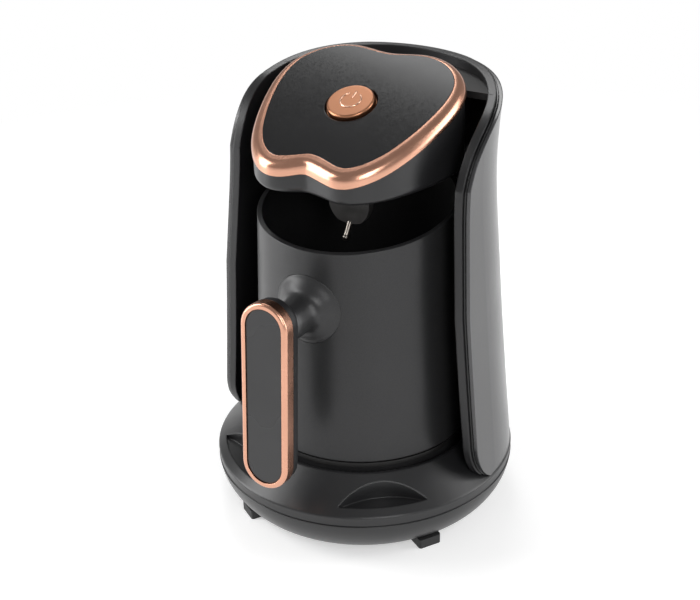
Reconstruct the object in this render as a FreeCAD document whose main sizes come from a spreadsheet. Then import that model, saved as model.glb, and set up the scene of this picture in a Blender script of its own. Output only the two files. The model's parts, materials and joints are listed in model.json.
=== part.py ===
import FreeCAD, Part
import math
import os
import Sketcher

# An electric maker for pot-brewed coffee. A round base carries a hot plate and a shroud that
# wraps the rear half. The head reaches forward from the shroud, over a pot that slides out.
# Origin: centre of the base, on the surface that the feet stand on. Z is up, the front is -Y.

V = FreeCAD.Vector
doc = FreeCAD.newDocument("coffee_maker")
sheet = doc.addObject("Spreadsheet::Sheet", "dims")

# Driving dimensions, in millimetres, except slopes (rise over run) and angles (degrees)
DIMENSIONS = {
    # base
    "foot_height": 4.5,
    "foot_width": 11.0,
    "foot_reach": 57.5,
    "foot_turn": 13.0,
    "bowl_floor_radius": 60.5,
    "bowl_round": 24.0,
    "seam_radius": 69.9,
    "seam_height": 21.1,
    "shell_wall": 2.2,
    "cover_edge_radius": 69.4,
    "cover_edge_height": 26.2,
    "lip_radius": 54.0,
    "lip_height": 38.4,
    "plate_well_radius": 51.8,
    "pocket_turn": 37.5,
    "pocket_outer_radius": 66.0,
    "pocket_inner_radius": 36.0,
    "pocket_centre": 93.0,
    "pocket_floor": 27.4,
    # hot plate
    "plate_radius": 48.0,
    "plate_top": 38.6,
    "flange_radius": 51.4,
    "flange_bottom": 32.0,
    "flange_top": 34.0,
    "coil_radius": 32.0,
    "coil_tube": 3.2,
    # shroud
    "shroud_foot_radius": 69.4,
    "shroud_waist_radius": 60.0,
    "shroud_waist_height": 164.0,
    "shroud_top_radius": 62.4,
    "shroud_top_height": 200.5,
    "inner_shell_wall": 3.6,
    "seam_band": 1.0,
    "outer_shell_wall": 1.8,
    "shroud_front": 18.0,
    "shroud_sides": 30.0,
    # head, seen in plan, with the sloping panel plane
    "panel_slope": 0.3975,
    "button_y": -4.8,
    "button_z": 193.0,
    "head_bottom": 164.0,
    "trim_width": 5.0,
    "trim_drop": 5.0,
    "head_wall": 2.4,
    "panel_thickness": 2.0,
    "button_radius": 10.4,
    "button_recess_radius": 11.6,
    "button_rise": 1.6,
    "button_travel": 1.5,
    # pot
    "pot_foot_radius": 49.7,
    "pot_rim_radius": 45.0,
    "pot_rim_height": 147.2,
    "pot_rim_slope": 0.14,
    "pot_wall": 2.0,
    "pot_floor": 2.6,
    "pot_ring_height": 3.2,
    "neck_height": 114.0,
    "neck_radius": 8.0,
    "boss_radius": 13.0,
    # grip
    "grip_centre_y": -77.0,
    "grip_centre_z": 87.6,
    "grip_half_length": 42.9,
    "grip_half_width": 11.3,
    "grip_lean": 4.5,
    "inlay_half_width": 8.9,
}


class Size:
    """A number together with the sheet expression that gives it."""

    def __init__(self, value, text):
        self.value = value
        self.text = text

    def combine(self, other, sign, value):
        return Size(value, "(" + self.text + " " + sign + " " + other.text + ")")

    def __add__(self, other):
        other = as_size(other)
        return self.combine(other, "+", self.value + other.value)

    def __radd__(self, other):
        return as_size(other) + self

    def __sub__(self, other):
        other = as_size(other)
        return self.combine(other, "-", self.value - other.value)

    def __rsub__(self, other):
        return as_size(other) - self

    def __mul__(self, other):
        other = as_size(other)
        return self.combine(other, "*", self.value * other.value)

    def __rmul__(self, other):
        return as_size(other) * self

    def __neg__(self):
        return Size(-self.value, "(0 - " + self.text + ")")


def as_size(number):
    if isinstance(number, Size):
        return number
    return Size(float(number), repr(float(number)))


class Dimensions:
    """Gives each cell of the sheet by its name."""

    def __init__(self, table):
        for row, name in enumerate(table, start=1):
            cell = "B" + str(row)
            sheet.set("A" + str(row), name)
            sheet.set(cell, str(table[name]))
            sheet.setAlias(cell, name)
            setattr(self, name, Size(table[name], "dims." + name))


D = Dimensions(DIMENSIONS)
doc.recompute()


def bind(thing, name, size):
    """Set a property, and tie it to the sheet."""
    size = as_size(size)
    setattr(thing, name, size.value)
    if "dims." in size.text:
        thing.setExpression(name, size.text)


def origin_plane(body, role):
    for feature in body.Origin.OriginFeatures:
        if feature.Role == role:
            return feature


def arc_middle(start, end, radius):
    """The middle of the arc between two points. A positive radius bulges right of the way."""
    chord = end - start
    half = chord.Length / 2
    rise = abs(radius) - math.sqrt(max(radius * radius - half * half, 0.0))
    right = V(chord.y, -chord.x, 0).normalize()
    return (start + end) * 0.5 + right * math.copysign(rise, radius)


def draw(body, role, corners):
    """Sketch a closed outline. A corner is (x, y), or (x, y, bend) when a curve leads to it.

    A number is the radius of an arc: positive bulges to the right, negative to the left. A list
    holds the points that a smooth curve goes through on its way to the corner.
    """
    sketch = body.newObject("Sketcher::SketchObject", body.Name + "_sketch")
    sketch.AttachmentSupport = (origin_plane(body, role), [""])
    sketch.MapMode = "FlatFace"
    points = [V(as_size(corner[0]).value, as_size(corner[1]).value, 0) for corner in corners]
    ends = []
    for number, corner in enumerate(corners):
        start = points[number - 1]
        end = points[number]
        if len(corner) == 2:
            edge = sketch.addGeometry(Part.LineSegment(start, end), False)
            ends.append((edge, 1, 2))
            continue
        if isinstance(corner[2], list):
            through = [V(as_size(x).value, as_size(y).value, 0) for x, y in corner[2]]
            curve = Part.BSplineCurve()
            curve.interpolate([start] + through + [end])
            edge = sketch.addGeometry(curve, False)
            ends.append((edge, 1, 2))
            continue
        bend = as_size(corner[2])
        middle = arc_middle(start, end, bend.value)
        if bend.value > 0:
            edge = sketch.addGeometry(Part.Arc(start, middle, end), False)
            ends.append((edge, 1, 2))
        else:
            edge = sketch.addGeometry(Part.Arc(end, middle, start), False)
            ends.append((edge, 2, 1))
    for number, (edge, first, last) in enumerate(ends):
        following = ends[(number + 1) % len(ends)]
        join = Sketcher.Constraint("Coincident", edge, last, following[0], following[1])
        sketch.addConstraint(join)
        fix(sketch, "DistanceX", edge, last, corners[number][0])
        fix(sketch, "DistanceY", edge, last, corners[number][1])
    for number, corner in enumerate(corners):
        if len(corner) == 3 and not isinstance(corner[2], list):
            bend = as_size(corner[2])
            if bend.value < 0:
                bend = -bend
            index = sketch.addConstraint(Sketcher.Constraint("Radius", ends[number][0], bend.value))
            tie(sketch, index, bend)
    return sketch


def fix(sketch, kind, edge, end, size):
    size = as_size(size)
    index = sketch.addConstraint(Sketcher.Constraint(kind, -1, 1, edge, end, size.value))
    tie(sketch, index, size)


def tie(sketch, index, size):
    if "dims." in size.text:
        sketch.setExpression("Constraints[" + str(index) + "]", size.text)


def new_body(name):
    body = doc.addObject("PartDesign::Body", name)
    body.Label = name
    return body


def turn(body, corners, angle=360):
    """Revolve an outline on the front plane round the object's own axis."""
    sketch = draw(body, "XZ_Plane", corners)
    feature = body.newObject("PartDesign::Revolution", body.Name + "_turned")
    feature.Profile = sketch
    feature.ReferenceAxis = (sketch, ["V_Axis"])
    feature.Angle = angle
    return feature


def pad(body, role, corners, length, symmetric=False, reverse=False):
    sketch = draw(body, role, corners)
    feature = body.newObject("PartDesign::Pad", body.Name + "_pad")
    feature.Profile = sketch
    bind(feature, "Length", length)
    feature.SideType = "Symmetric" if symmetric else "One side"
    feature.Reversed = reverse
    return feature


def cut_through(body, role, corners):
    """Cut an outline right through the body, both ways from its plane."""
    doc.recompute()
    before = body.Shape.Volume
    sketch = draw(body, role, corners)
    feature = body.newObject("PartDesign::Pocket", body.Name + "_pocket")
    feature.Profile = sketch
    feature.Length = 500
    feature.SideType = "Symmetric"
    doc.recompute()
    if body.Shape.Volume > before - 1:
        raise RuntimeError("nothing was cut from " + body.Name)
    return feature


def round_edges(body, radius, wanted):
    """Fillet the edges of a body for which wanted(edge) is true."""
    doc.recompute()
    tip = body.Tip
    names = ["Edge" + str(n + 1) for n, edge in enumerate(tip.Shape.Edges) if wanted(edge)]
    if not names:
        raise RuntimeError("no edge to round on " + body.Name)
    fillet = body.newObject("PartDesign::Fillet", body.Name + "_round")
    fillet.Base = (tip, names)
    bind(fillet, "Radius", radius)
    return fillet


def cylinder(name, radius, height, x=0.0, y=0.0, z=0.0):
    """A cylinder that stands at x, y, z."""
    solid = doc.addObject("Part::Cylinder", name)
    bind(solid, "Radius", radius)
    bind(solid, "Height", height)
    place(solid, x, y, z)
    return solid


def box(name, width, depth, height, x=0.0, y=0.0, z=0.0):
    """A box centred on x and y, that stands at z."""
    solid = doc.addObject("Part::Box", name)
    bind(solid, "Length", width)
    bind(solid, "Width", depth)
    bind(solid, "Height", height)
    place(solid, as_size(x) - as_size(width) * 0.5, as_size(y) - as_size(depth) * 0.5, z)
    return solid


def place(solid, x, y, z):
    for axis, size in (("x", x), ("y", y), ("z", z)):
        size = as_size(size)
        if "dims." in size.text:
            solid.setExpression("Placement.Base." + axis, size.text)
    solid.Placement.Base = V(as_size(x).value, as_size(y).value, as_size(z).value)


def fuse(name, pieces):
    joined = doc.addObject("Part::MultiFuse", name)
    joined.Shapes = pieces
    joined.Label = name
    return joined


def cut(name, base, tool):
    carved = doc.addObject("Part::Cut", name)
    carved.Base = base
    carved.Tool = tool
    carved.Label = name
    return carved


def set_frame(solid, frame):
    """Move a finished solid into a frame of its own, such as the sloping panel's."""
    solid.Placement = frame.multiply(solid.Placement)


def feature(name, shape):
    solid = doc.addObject("Part::Feature", name)
    solid.Label = name
    solid.Shape = shape
    return solid


kept = []


def keep(solid):
    """Hand a finished sub-part over for export."""
    kept.append(solid)
    return solid


# Base housing: a moulded bowl with a flat floor, closed above by the cover
def make_base_housing():
    bowl = new_body("base_bowl")
    floor = D.foot_height
    turn(bowl, [
        (0, floor),
        (D.bowl_floor_radius, floor),
        (D.seam_radius, D.seam_height, D.bowl_round),
        (D.seam_radius - D.shell_wall, D.seam_height),
        (D.bowl_floor_radius - D.shell_wall, floor + D.shell_wall, -D.bowl_round),
        (0, floor + D.shell_wall),
    ])
    posts = []
    post_height = D.flange_bottom - 3.2 - floor - D.shell_wall
    for number, (x, y) in enumerate(SCREW_PLACES):
        posts.append(cylinder("screw_post" + str(number), 3.4, post_height, x, y, floor + D.shell_wall))
    for number, (x, y) in enumerate(BOARD_PLACES):
        posts.append(cylinder("board_post" + str(number), 2.5, 5.0, x, y, floor + D.shell_wall))
    joined = fuse("base_moulding", [bowl] + posts)
    drilled = cut("base_drilled", joined, make_base_screws())
    return keep(cut("base_housing", drilled, feature("inlet_hole", inlet_shape(INLET_RADIUS, 20.0))))


def bowl_outside():
    """The base housing's outer form, as one filled solid."""
    bowl = doc.getObject("base_bowl").Shape
    filled = Part.makeCylinder(D.seam_radius.value - 2.0, 12.0, V(0, 0, 8.0))
    return bowl.fuse(filled)


INLET_RADIUS = 4.6
INLET_HEIGHT = 13.5


def inlet_shape(radius, length):
    """A cylinder along Y that crosses the rear wall of the base."""
    return Part.makeCylinder(radius, length, V(0, 76 - length, INLET_HEIGHT), V(0, 1, 0))


# Cord inlet: a rubber grommet snapped into the rear wall, with a collar on each side
def make_cord_grommet():
    rim = D.seam_radius.value - 1.2
    sleeve = Part.makeCylinder(INLET_RADIUS, 6.0, V(0, rim - 5.0, INLET_HEIGHT), V(0, 1, 0))
    collar = Part.makeCylinder(6.6, 2.4, V(0, rim - 0.2, INLET_HEIGHT), V(0, 1, 0))
    sleeve = sleeve.fuse(collar)
    sleeve = sleeve.makeFillet(0.8, [edge for edge in sleeve.Edges if edge.BoundBox.YMin > rim + 2])
    wall = bowl_outside()
    outside = collar.cut(wall)
    shape = sleeve.cut(collar).fuse(outside)
    bore = Part.makeCylinder(3.3, 20.0, V(0, rim - 10.0, INLET_HEIGHT), V(0, 1, 0))
    keep(feature("cord_grommet", shape.cut(bore)))


def polar(radius, degrees):
    """A point on the plan. The angle is measured from the front, towards the right."""
    turned = math.radians(degrees)
    return (radius * math.sin(turned), -radius * math.cos(turned))


SCREW_PLACES = [polar(51.4, 45 + 90 * quarter) for quarter in range(4)]
BOARD_PLACES = [(-24, -14), (24, -14), (-24, 14), (24, 14)]


# Base screws: four pan heads sunk in the floor, in one group
def make_base_screws():
    pieces = []
    for number, (x, y) in enumerate(SCREW_PLACES):
        head = cylinder("screw_head" + str(number), 3.0, 1.6, x, y, D.foot_height)
        shank = cylinder("screw_shank" + str(number), 1.5, 25.2, x, y, D.foot_height + 1.0)
        pieces.append(fuse("base_screw" + str(number), [head, shank]))
    group = doc.addObject("Part::Compound", "base_screws")
    group.Label = "base_screws"
    group.Links = pieces
    return keep(group)


# Feet: four rubber blocks under the housing
def make_rubber_feet():
    pieces = []
    for quarter in range(4):
        degrees = 45 + D.foot_turn.value + 90 * quarter
        x, y = polar(D.foot_reach.value, degrees)
        width = D.foot_width.value
        block = Part.makeBox(width, width, D.foot_height.value, V(-width / 2, -width / 2, 0))
        block = block.makeFillet(1.2, [edge for edge in block.Edges if edge.BoundBox.ZLength > 1])
        block.rotate(V(0, 0, 0), V(0, 0, 1), degrees)
        block.translate(V(x, y, 0))
        pieces.append(block)
    return keep(feature("rubber_feet", Part.makeCompound(pieces)))


# Base cover: the sloping ring round the hot plate, with two sunk crescents at the front
def cover_height(radius):
    """Height of the cover's sloping face at a radius, as a size."""
    slope = (D.lip_height - D.cover_edge_height).value / (D.cover_edge_radius - D.lip_radius).value
    return D.cover_edge_height + (D.cover_edge_radius - radius) * slope


def make_base_cover():
    body = new_body("cover_moulding")
    wall = D.shell_wall
    spigot = D.seam_radius - wall - 1.3
    turn(body, [
        (spigot - 1.8, D.seam_height - 3.0),
        (spigot, D.seam_height - 3.0),
        (spigot, D.seam_height),
        (D.seam_radius - 0.3, D.seam_height),
        (D.seam_radius - 0.1, D.cover_edge_height - 1.4),
        (D.cover_edge_radius, D.cover_edge_height, 1.2),
        (D.lip_radius, D.lip_height),
        (D.plate_well_radius + 0.8, D.lip_height, 2.0),
        (D.plate_well_radius, D.lip_height - 0.8, 0.9),
        (D.plate_well_radius, D.flange_bottom - 1.0),
        (D.plate_well_radius - 3.0, D.flange_bottom - 1.0),
        (D.plate_well_radius - 3.0, D.flange_bottom - 3.2),
        (D.plate_well_radius + wall, D.flange_bottom - 3.2),
        (D.plate_well_radius + wall, cover_height(D.plate_well_radius + wall) - 2.8),
        (spigot - 1.8, cover_height(spigot - 1.8) - 2.8),
    ])
    screws = doc.getObject("base_screws").Shape.copy()
    tools = pocket_hollows() + shroud_screw_shapes() + [wire_hole(), screws]
    trays = feature("pocket_trays", Part.makeCompound(pocket_trays()))
    whole = fuse("cover_whole", [body, trays])
    return keep(cut("base_cover", whole, feature("cover_tools", Part.makeCompound(tools))))


def crescent(side, spread, floor):
    """A block between two arcs, from a floor up: the form of one sunk crescent."""
    x, y = polar(D.pocket_centre.value, side * D.pocket_turn.value)
    round_end = Part.makeCylinder(D.pocket_inner_radius.value + spread, 40, V(x, y, floor))
    outside = Part.makeCylinder(D.pocket_outer_radius.value + spread / 5, 40, V(0, 0, floor))
    return round_end.common(outside)


def pocket_trays():
    """The walls and floors of the crescents, inside the cover's outer form."""
    wall = D.shell_wall.value - 0.4
    low = cover_height(D.cover_edge_radius).value
    form = Part.makeCone(D.cover_edge_radius.value, D.lip_radius.value,
                         D.lip_height.value - low, V(0, 0, low))
    form = form.fuse(Part.makeCylinder(D.cover_edge_radius.value, 8, V(0, 0, low - 8)))
    floor = D.pocket_floor.value - wall
    return [crescent(side, wall * 2, floor).common(form) for side in (-1, 1)]


def pocket_hollows():
    return [crescent(side, 0.0, D.pocket_floor.value) for side in (-1, 1)]


# Hot plate: an aluminium disc with a flange, on a rubber seal, heated by a bent tube below
def make_hot_plate():
    body = new_body("hot_plate")
    turn(body, [
        (0, D.flange_bottom),
        (D.flange_radius, D.flange_bottom),
        (D.flange_radius, D.flange_top),
        (D.plate_radius, D.flange_top),
        (D.plate_radius, D.plate_top - 0.8),
        (D.plate_radius - 0.8, D.plate_top, 0.8),
        (0, D.plate_top),
    ])
    keep(body)
    seal = new_body("plate_seal")
    turn(seal, [
        (D.plate_well_radius - 2.8, D.flange_bottom - 1.0),
        (D.plate_well_radius - 0.1, D.flange_bottom - 1.0),
        (D.plate_well_radius - 0.1, D.flange_bottom),
        (D.plate_well_radius - 2.8, D.flange_bottom),
    ])
    keep(seal)


def make_heating_element():
    coil = doc.addObject("Part::Torus", "heater_coil")
    bind(coil, "Radius1", D.coil_radius)
    bind(coil, "Radius2", D.coil_tube)
    coil.Angle3 = 310
    coil.Placement.Rotation = FreeCAD.Rotation(V(0, 0, 1), 115)
    place(coil, 0, 0, D.flange_bottom - D.coil_tube)
    pins = []
    for number, degrees in enumerate((-156.0, 154.0)):
        x, y = polar(D.coil_radius.value, degrees)
        height = 9.0
        top = D.flange_bottom - D.coil_tube
        pins.append(cylinder("heater_pin" + str(number), 1.6, height, x, y, top - height))
    keep(fuse("heating_element", [coil] + pins))
    body = cylinder("thermostat_body", 7.0, 6.0, 0, 0, D.flange_bottom - 6.0)
    tabs = box("thermostat_tabs", 22.0, 4.0, 0.8, 0, 0, D.flange_bottom - 5.0)
    keep(fuse("thermostat", [body, tabs]))
    fuse_link = cylinder("thermal_fuse", 2.0, 14.0)
    fuse_link.Label = "thermal_fuse"
    fuse_link.Placement = FreeCAD.Placement(
        V(-7, 16, D.flange_bottom.value - 2.0), FreeCAD.Rotation(V(0, 1, 0), 90))
    keep(fuse_link)


# Power board in the base, with its relay and the block where the wires are clamped
def make_power_board():
    level = D.foot_height + D.shell_wall + 5.0
    board = box("power_board", 62.0, 38.0, 1.6, 0, 0, level)
    board.Label = "power_board"
    keep(board)
    relay = box("relay", 19.0, 15.5, 11.2, -15, 0, level + 1.6)
    relay.Label = "relay"
    keep(relay)
    block = box("block_body", 24.0, 9.0, 9.0, 14, 11, level + 1.6)
    holes = [
        cylinder("block_hole" + str(number), 1.8, 6.0, 6 + 8 * number, 11, level + 6.0)
        for number in range(3)
    ]
    keep(cut("terminal_block", block, fuse("block_holes", holes)))


# Shroud: two nested shells round the rear half, with a thin band in the seam between them
def shroud_radius(height):
    """The shroud's outer radius: it narrows to a waist, then flares a little to the top."""
    waist = D.shroud_waist_radius
    rise = D.shroud_waist_height.value
    if height < rise:
        share = ((rise - height) / (rise - D.cover_edge_height.value)) ** 1.25
        return waist + (D.shroud_foot_radius - waist) * share
    share = ((height - rise) / (D.shroud_top_height.value - rise)) ** 1.8
    return waist + (D.shroud_top_radius - waist) * share


SHROUD_STATIONS = [60.0, 100.0, 135.0, 164.0, 185.0]


def shroud_ring(body, outer_gap, inner_gap):
    """Make the part of the shroud's wall that lies between two depths below its face.

    On the plan it is a U: half a ring at the back, and straight sides that run forward.
    """
    turn(body, shroud_section(outer_gap, inner_gap, 1), 180)
    for side in (1, -1):
        pad(body, "XZ_Plane", shroud_section(outer_gap, inner_gap, side), D.shroud_sides)


def shroud_section(outer_gap, inner_gap, side):
    foot = D.shroud_foot_radius
    top = D.shroud_top_radius
    levels = SHROUD_STATIONS
    outer = [((shroud_radius(height) - outer_gap) * side, height) for height in levels]
    inner = [((shroud_radius(height) - inner_gap) * side, height) for height in reversed(levels)]
    return [
        ((foot - outer_gap) * side, cover_height(foot - outer_gap)),
        ((top - outer_gap) * side, D.shroud_top_height, outer),
        ((top - inner_gap) * side, D.shroud_top_height),
        ((foot - inner_gap) * side, cover_height(foot - inner_gap), inner),
    ]


def open_front(body, setback):
    """Cut the shroud along its sweeping side line, set back by a distance."""
    front = -D.shroud_front + setback
    cut_through(body, "YZ_Plane", [
        (-100, 10),
        (-6 + setback, 10),
        (-6 + setback, 26.0),
        (front, 48.0, -24.0),
        (front, 110.0),
        (front + 5.0, 166.0),
        (17.0 + setback, 194.0 - setback, -42.0),
        (66.0, 200.7 - setback, -160.0),
        (66.0, 230),
        (-100, 230),
    ])


def make_shroud():
    inner_face = D.inner_shell_wall + D.seam_band + D.outer_shell_wall
    seam = D.seam_band + D.outer_shell_wall
    inner = new_body("inner_moulding")
    shroud_ring(inner, seam, inner_face)
    open_front(inner, 0.0)
    screws = feature("shell_screw_holes", Part.makeCompound(shroud_screw_shapes()))
    keep(cut("inner_shell", inner, screws))
    band = new_body("edge_trim")
    shroud_ring(band, D.outer_shell_wall, seam)
    open_front(band, 1.0)
    keep(band)
    outer = new_body("outer_shell")
    shroud_ring(outer, 0.0, D.outer_shell_wall)
    open_front(outer, 1.6)
    keep(outer)


# The outline of the head on the plan, right half, from the front notch to the back notch
HEAD_OUTLINE = [
    (0.0, -31.1),
    (8.5, -33.3),
    (16.5, -35.0),
    (26.0, -28.9),
    (33.0, -17.2),
    (38.5, 0.0),
    (40.0, 11.2),
    (38.5, 20.4),
    (34.0, 26.9),
    (27.0, 31.6),
    (17.0, 33.7),
    (0.0, 31.9),
]


def head_wire(offset):
    """The head's outline at height 0, moved outward by an offset."""
    right = [V(x, y + D.button_y.value, 0) for x, y in HEAD_OUTLINE]
    left = [V(-point.x, point.y, 0) for point in reversed(right[1:-1])]
    curve = Part.BSplineCurve()
    curve.interpolate(Points=right + left, PeriodicFlag=True)
    if offset:
        moved = []
        for point in right + left:
            along = curve.tangent(curve.parameter(point))[0]
            moved.append(point + V(along.y, -along.x, 0) * offset)
        curve.interpolate(Points=moved, PeriodicFlag=True)
    return Part.Wire([curve.toShape()])


def head_prism(offset, bottom, top):
    face = Part.Face(head_wire(offset))
    prism = face.extrude(V(0, 0, top - bottom))
    prism.translate(V(0, 0, bottom))
    return prism


def panel_frame():
    """The frame of the sloping panel: x right, y up the slope, z out of the panel."""
    tilt = math.degrees(math.atan(D.panel_slope.value))
    origin = V(0, D.button_y.value, D.button_z.value)
    return FreeCAD.Placement(origin, FreeCAD.Rotation(V(1, 0, 0), tilt))


def under_panel(drop):
    """A large block whose top face is the panel plane, lowered by a drop."""
    block = Part.makeBox(200, 200, 120, V(-100, -100, -120 - drop))
    block.Placement = panel_frame()
    return block


def make_head():
    bottom = D.head_bottom.value
    outer = D.trim_width.value
    wall = D.head_wall.value
    drop = D.trim_drop.value
    shell = head_prism(outer - 0.6, bottom, 230).common(under_panel(drop))
    low_edges = [edge for edge in shell.Edges if edge.BoundBox.ZMax < bottom + 0.1]
    shell = shell.makeFillet(3.0, low_edges)
    hollow = head_prism(outer - 0.6 - wall, bottom + 2.4, 230).common(under_panel(drop + 2.0))
    mouth = head_prism(-2.2, bottom + 3, 230)
    plate_seat = head_prism(-1.0, bottom - 1, bottom + 2.4)
    shell = shell.cut(hollow.fuse(mouth)).cut(plate_seat).cut(wire_passage())
    keep(feature("head_body", shell.removeSplitter()))

    plate = head_prism(-1.0, bottom, bottom + 2.4)
    slot = Part.makeBox(20.4, 4.0, 10, V(-10.2, -9.0, bottom - 2))
    plate = plate.cut(slot).cut(underside_screws_shape())
    keep(feature("head_underside", plate))
    keep(feature("underside_screws", underside_screws_shape()))

    thickness = D.panel_thickness.value
    panel = head_prism(-0.1, bottom, 230).common(under_panel(0)).cut(under_panel(drop))
    inside = head_prism(-2.2, bottom, 230).common(under_panel(thickness))
    panel = panel.cut(inside)
    hole = Part.makeCylinder(D.button_radius.value + 0.5, 20, V(0, 0, -10))
    bevel = Part.makeCone(D.button_radius.value + 0.5, D.button_recess_radius.value, 1.2, V(0, 0, -1.2))
    hole = hole.fuse(bevel)
    hole.Placement = panel_frame()
    bosses = []
    for x, y in BOSS_PLACES:
        boss = Part.makeCylinder(2.5, 10.0, V(x, y, -thickness - 10.0))
        boss.Placement = panel_frame()
        bosses.append(boss)
    panel = panel.cut(hole).fuse(bosses).cut(board_screws_shape())
    keep(feature("head_panel", panel))

    ring = head_prism(outer, bottom, 230).common(under_panel(0)).cut(under_panel(drop))
    rim = [edge for edge in ring.Edges if is_on_plane(edge, 0)]
    ring = ring.makeFillet(D.trim_drop.value - 0.6, rim)
    ring = ring.cut(head_prism(0.0, bottom, 230))
    keep(feature("panel_trim", ring))


def wire_passage():
    """The way for the wires from the neck into the head."""
    return Part.makeBox(7.0, 18.0, 10.0, V(-3.5, 24.0, 177.0))


def is_on_plane(edge, drop):
    """True for an edge that lies all along the panel plane, lowered by a drop."""
    frame = panel_frame().inverse()
    heights = [frame.multVec(edge.valueAt(at)).z for at in edge_steps(edge)]
    return max(heights) < 0.01 - drop and min(heights) > -0.01 - drop


def edge_steps(edge):
    first, last = edge.ParameterRange
    return [first + (last - first) * step / 4 for step in range(5)]


BOSS_PLACES = [(-22, -16), (22, -16), (-22, 16), (22, 16)]
UNDERSIDE_SCREWS = [(-26, -20), (26, -20), (-28, 16), (28, 16)]


def underside_screws_shape():
    bottom = D.head_bottom.value
    pieces = []
    for x, y in UNDERSIDE_SCREWS:
        head = Part.makeCylinder(2.6, 1.2, V(x, y, bottom))
        shank = Part.makeCylinder(1.3, 6.0, V(x, y, bottom))
        pieces.append(head.fuse(shank))
    return Part.makeCompound(pieces)


def board_screws_shape():
    """Four screws up through the control board into the panel's bosses."""
    pieces = []
    for x, y in BOSS_PLACES:
        head = Part.makeCylinder(2.2, 1.4, V(x, y, -12.0 - 1.6 - 1.4))
        shank = Part.makeCylinder(1.1, 7.0, V(x, y, -12.0 - 1.6))
        pieces.append(head.fuse(shank))
    group = Part.makeCompound(pieces)
    group.Placement = panel_frame()
    return group


# Neck and deck: what joins the head to the shroud and closes its top behind the head
def make_neck():
    inner_face = (D.inner_shell_wall + D.seam_band + D.outer_shell_wall).value
    low = D.shroud_waist_radius.value - inner_face
    high = D.shroud_top_radius.value - inner_face
    deck_bottom = 193.0
    deck_top = 196.0
    head = head_prism(D.trim_width.value - 0.6, 100, 230)

    shell = doc.getObject("inner_moulding").Shape

    neck = Part.makeCone(low + 1.5, high + 1.5, deck_bottom - D.head_bottom.value,
                         V(0, 0, D.head_bottom.value)).cut(shell)
    neck = neck.common(Part.makeBox(64, 70, 60, V(-32, 10, 150))).cut(head)
    duct = Part.makeBox(36, 10.5, 60, V(-18, 36.5, 150))
    slot = Part.makeBox(8, 6.5, 60, V(-4, 46.0, 150))
    neck = neck.cut(duct.fuse(slot)).cut(wire_passage())
    neck = max(neck.Solids, key=lambda solid: solid.Volume)
    keep(feature("neck_housing", neck))

    deck = Part.makeCylinder(high + 1.5, deck_top - deck_bottom, V(0, 0, deck_bottom)).cut(shell)
    deck = deck.common(Part.makeBox(140, 70, 60, V(-70, 24, 150))).cut(head)
    deck = max(deck.Solids, key=lambda solid: solid.Volume)
    keep(feature("top_deck", deck))


# Power button: a round cap with a flange below the panel, on a coil spring over a small switch
def make_button():
    frame = panel_frame()
    button = new_body("power_button")
    cap = D.button_radius
    thickness = D.panel_thickness
    turn(button, [
        (0, D.button_rise),
        (0, -8.0),
        (2.0, -8.0),
        (2.0, -thickness - 1.5),
        (cap + 1.2, -thickness - 1.5),
        (cap + 1.2, -thickness - 0.3),
        (cap, -thickness - 0.3),
        (cap, D.button_rise - 0.9),
        (cap - 0.9, D.button_rise, 0.9),
    ])
    set_frame(button, frame)
    keep(button)

    wire = 0.35
    top = -thickness.value - 1.5 - wire
    bottom = -12.0 + wire
    steps = 10 * SPRING_TURNS
    coil_points = []
    for step in range(steps + 1):
        turned = 2 * math.pi * step / 10
        height = bottom + (top - bottom) * step / steps
        coil_points.append(V(4.2 * math.cos(turned), 4.2 * math.sin(turned), height))
    path = Part.makePolygon(coil_points)
    ring = Part.makePolygon([
        coil_points[0] + V(wire * math.cos(math.radians(60 * k)), 0, wire * math.sin(math.radians(60 * k)))
        for k in range(7)
    ])
    coil = path.makePipeShell([ring], True, False, 1)
    spring = feature("button_spring", coil)
    set_frame(spring, frame)
    keep(spring)

    body = box("switch_body", 5.0, 5.0, 1.8, 0, 0, -12.0)
    plunger = cylinder("switch_plunger", 1.5, 2.3, 0, 0, -12.0)
    switch = fuse("button_switch", [body, plunger])
    set_frame(switch, frame)
    keep(switch)


SPRING_TURNS = 3


# Control board under the panel, hung on four bosses, with its buzzer
def make_control_board():
    frame = panel_frame()
    board = box("board_sheet", 54.0, 42.0, 1.6, 0, 0, -12.0 - 1.6)
    set_frame(board, frame)
    keep(cut("control_board", board, feature("board_holes", board_screws_shape())))
    keep(feature("board_screws", board_screws_shape()))
    buzzer = cylinder("buzzer", 6.0, 6.0, 16, 0, -12.0)
    buzzer.Label = "buzzer"
    set_frame(buzzer, frame)
    keep(buzzer)


# Sensor: a soft tongue that hangs into the pot's mouth, with a metal tip
def make_sensor():
    body = new_body("flap_moulding")
    half = 10.2
    low = 139.0
    pad(body, "XZ_Plane", [
        (-half, D.head_bottom + 2.4),
        (-half, low + 9.0),
        (-6.0, low + 1.2, 12.0),
        (6.0, low + 1.2, 17.0),
        (half, low + 9.0, 12.0),
        (half, D.head_bottom + 2.4),
    ], 4.0, symmetric=True)
    body.Placement.Base = V(0, -7.0, 0)
    tip = Part.makeCylinder(1.2, 8.0)
    ball = Part.makeSphere(1.5, V(0, 0, 8.0))
    probe = feature("sensor_probe", tip.fuse(ball))
    probe.Placement = FreeCAD.Placement(V(0, -7.6, 140.2), FreeCAD.Rotation(V(1, 0, 0), 145))
    keep(probe)
    keep(cut("sensor_flap", body, probe))


# Pot: a drawn metal cone with a sloping rim, a plain ring at its foot and a welded boss
def pot_radius(height):
    """Outer radius of the pot at a height, as a size."""
    rise = (D.pot_rim_height - D.plate_top).value
    return D.pot_foot_radius - (height - D.plate_top) * (
        (D.pot_foot_radius - D.pot_rim_radius).value / rise)


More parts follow.
